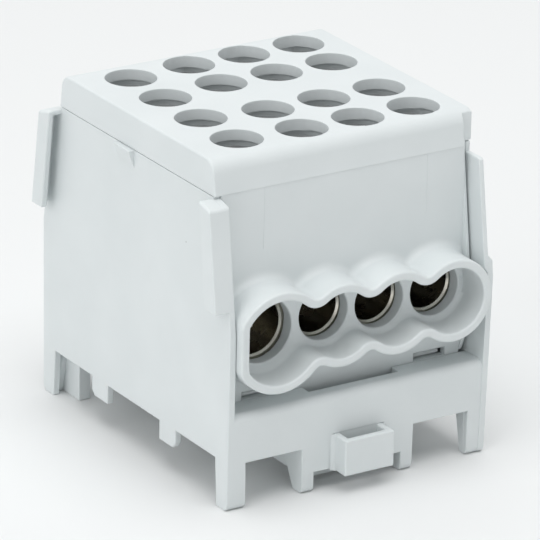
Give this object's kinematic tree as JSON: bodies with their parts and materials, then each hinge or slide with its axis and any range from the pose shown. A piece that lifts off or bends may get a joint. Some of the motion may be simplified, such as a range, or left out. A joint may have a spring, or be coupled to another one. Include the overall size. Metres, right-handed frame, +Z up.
{
  "type": "terminal block",
  "caption": "Rail-mounted main-line terminal block with screw-clamped bars, a lobed entry collar, a cover with screwdriver holes and a sliding rail latch.",
  "frame": {"origin": "on the rail's centre line, level with the soles of the feet", "axes": "+X across the poles and along the rail, -Y towards the latch side, +Z up"},
  "size_m": [0.0494, 0.0602, 0.0544],
  "materials": {
    "housing_plastic": "fine-textured light grey polyamide",
    "latch_plastic": "light grey polyamide",
    "plated_brass": "nickel-plated brass",
    "zinc_steel": "zinc-plated steel"
  },
  "bodies": {
    "housing": {"base": "housing_plastic", "terminal_carrier": "housing_plastic", "cover": "housing_plastic", "bar_1": "plated_brass", "bar_2": "plated_brass", "bar_3": "plated_brass", "bar_4": "plated_brass"},
    "latch": {"rail_latch": "latch_plastic"},
    "screw_1_1": {"screw_1_1": "zinc_steel"},
    "screw_1_2": {"screw_1_2": "zinc_steel"},
    "screw_1_3": {"screw_1_3": "zinc_steel"},
    "screw_1_4": {"screw_1_4": "zinc_steel"},
    "screw_2_1": {"screw_2_1": "zinc_steel"},
    "screw_2_2": {"screw_2_2": "zinc_steel"},
    "screw_2_3": {"screw_2_3": "zinc_steel"},
    "screw_2_4": {"screw_2_4": "zinc_steel"},
    "screw_3_1": {"screw_3_1": "zinc_steel"},
    "screw_3_2": {"screw_3_2": "zinc_steel"},
    "screw_3_3": {"screw_3_3": "zinc_steel"},
    "screw_3_4": {"screw_3_4": "zinc_steel"},
    "screw_4_1": {"screw_4_1": "zinc_steel"},
    "screw_4_2": {"screw_4_2": "zinc_steel"},
    "screw_4_3": {"screw_4_3": "zinc_steel"},
    "screw_4_4": {"screw_4_4": "zinc_steel"}
  },
  "joints": [
    {"name": "latch_slide", "type": "slide", "parent": "housing", "child": "latch", "axis": [0, -1, 0], "range_m": [0, 0.002], "stiffness_N_per_m": 1500, "springref_m": -0.001},
    {"name": "screw_1_1_travel", "type": "slide", "parent": "housing", "child": "screw_1_1", "axis": [0, 0, -1], "range_m": [0, 0.0064]},
    {"name": "screw_1_2_travel", "type": "slide", "parent": "housing", "child": "screw_1_2", "axis": [0, 0, -1], "range_m": [0, 0.0064]},
    {"name": "screw_1_3_travel", "type": "slide", "parent": "housing", "child": "screw_1_3", "axis": [0, 0, -1], "range_m": [0, 0.0064]},
    {"name": "screw_1_4_travel", "type": "slide", "parent": "housing", "child": "screw_1_4", "axis": [0, 0, -1], "range_m": [0, 0.0064]},
    {"name": "screw_2_1_travel", "type": "slide", "parent": "housing", "child": "screw_2_1", "axis": [0, 0, -1], "range_m": [0, 0.0064]},
    {"name": "screw_2_2_travel", "type": "slide", "parent": "housing", "child": "screw_2_2", "axis": [0, 0, -1], "range_m": [0, 0.0064]},
    {"name": "screw_2_3_travel", "type": "slide", "parent": "housing", "child": "screw_2_3", "axis": [0, 0, -1], "range_m": [0, 0.0064]},
    {"name": "screw_2_4_travel", "type": "slide", "parent": "housing", "child": "screw_2_4", "axis": [0, 0, -1], "range_m": [0, 0.0064]},
    {"name": "screw_3_1_travel", "type": "slide", "parent": "housing", "child": "screw_3_1", "axis": [0, 0, -1], "range_m": [0, 0.0064]},
    {"name": "screw_3_2_travel", "type": "slide", "parent": "housing", "child": "screw_3_2", "axis": [0, 0, -1], "range_m": [0, 0.0064]},
    {"name": "screw_3_3_travel", "type": "slide", "parent": "housing", "child": "screw_3_3", "axis": [0, 0, -1], "range_m": [0, 0.0064]},
    {"name": "screw_3_4_travel", "type": "slide", "parent": "housing", "child": "screw_3_4", "axis": [0, 0, -1], "range_m": [0, 0.0064]},
    {"name": "screw_4_1_travel", "type": "slide", "parent": "housing", "child": "screw_4_1", "axis": [0, 0, -1], "range_m": [0, 0.0064]},
    {"name": "screw_4_2_travel", "type": "slide", "parent": "housing", "child": "screw_4_2", "axis": [0, 0, -1], "range_m": [0, 0.0064]},
    {"name": "screw_4_3_travel", "type": "slide", "parent": "housing", "child": "screw_4_3", "axis": [0, 0, -1], "range_m": [0, 0.0064]},
    {"name": "screw_4_4_travel", "type": "slide", "parent": "housing", "child": "screw_4_4", "axis": [0, 0, -1], "range_m": [0, 0.0064]}
  ]
}
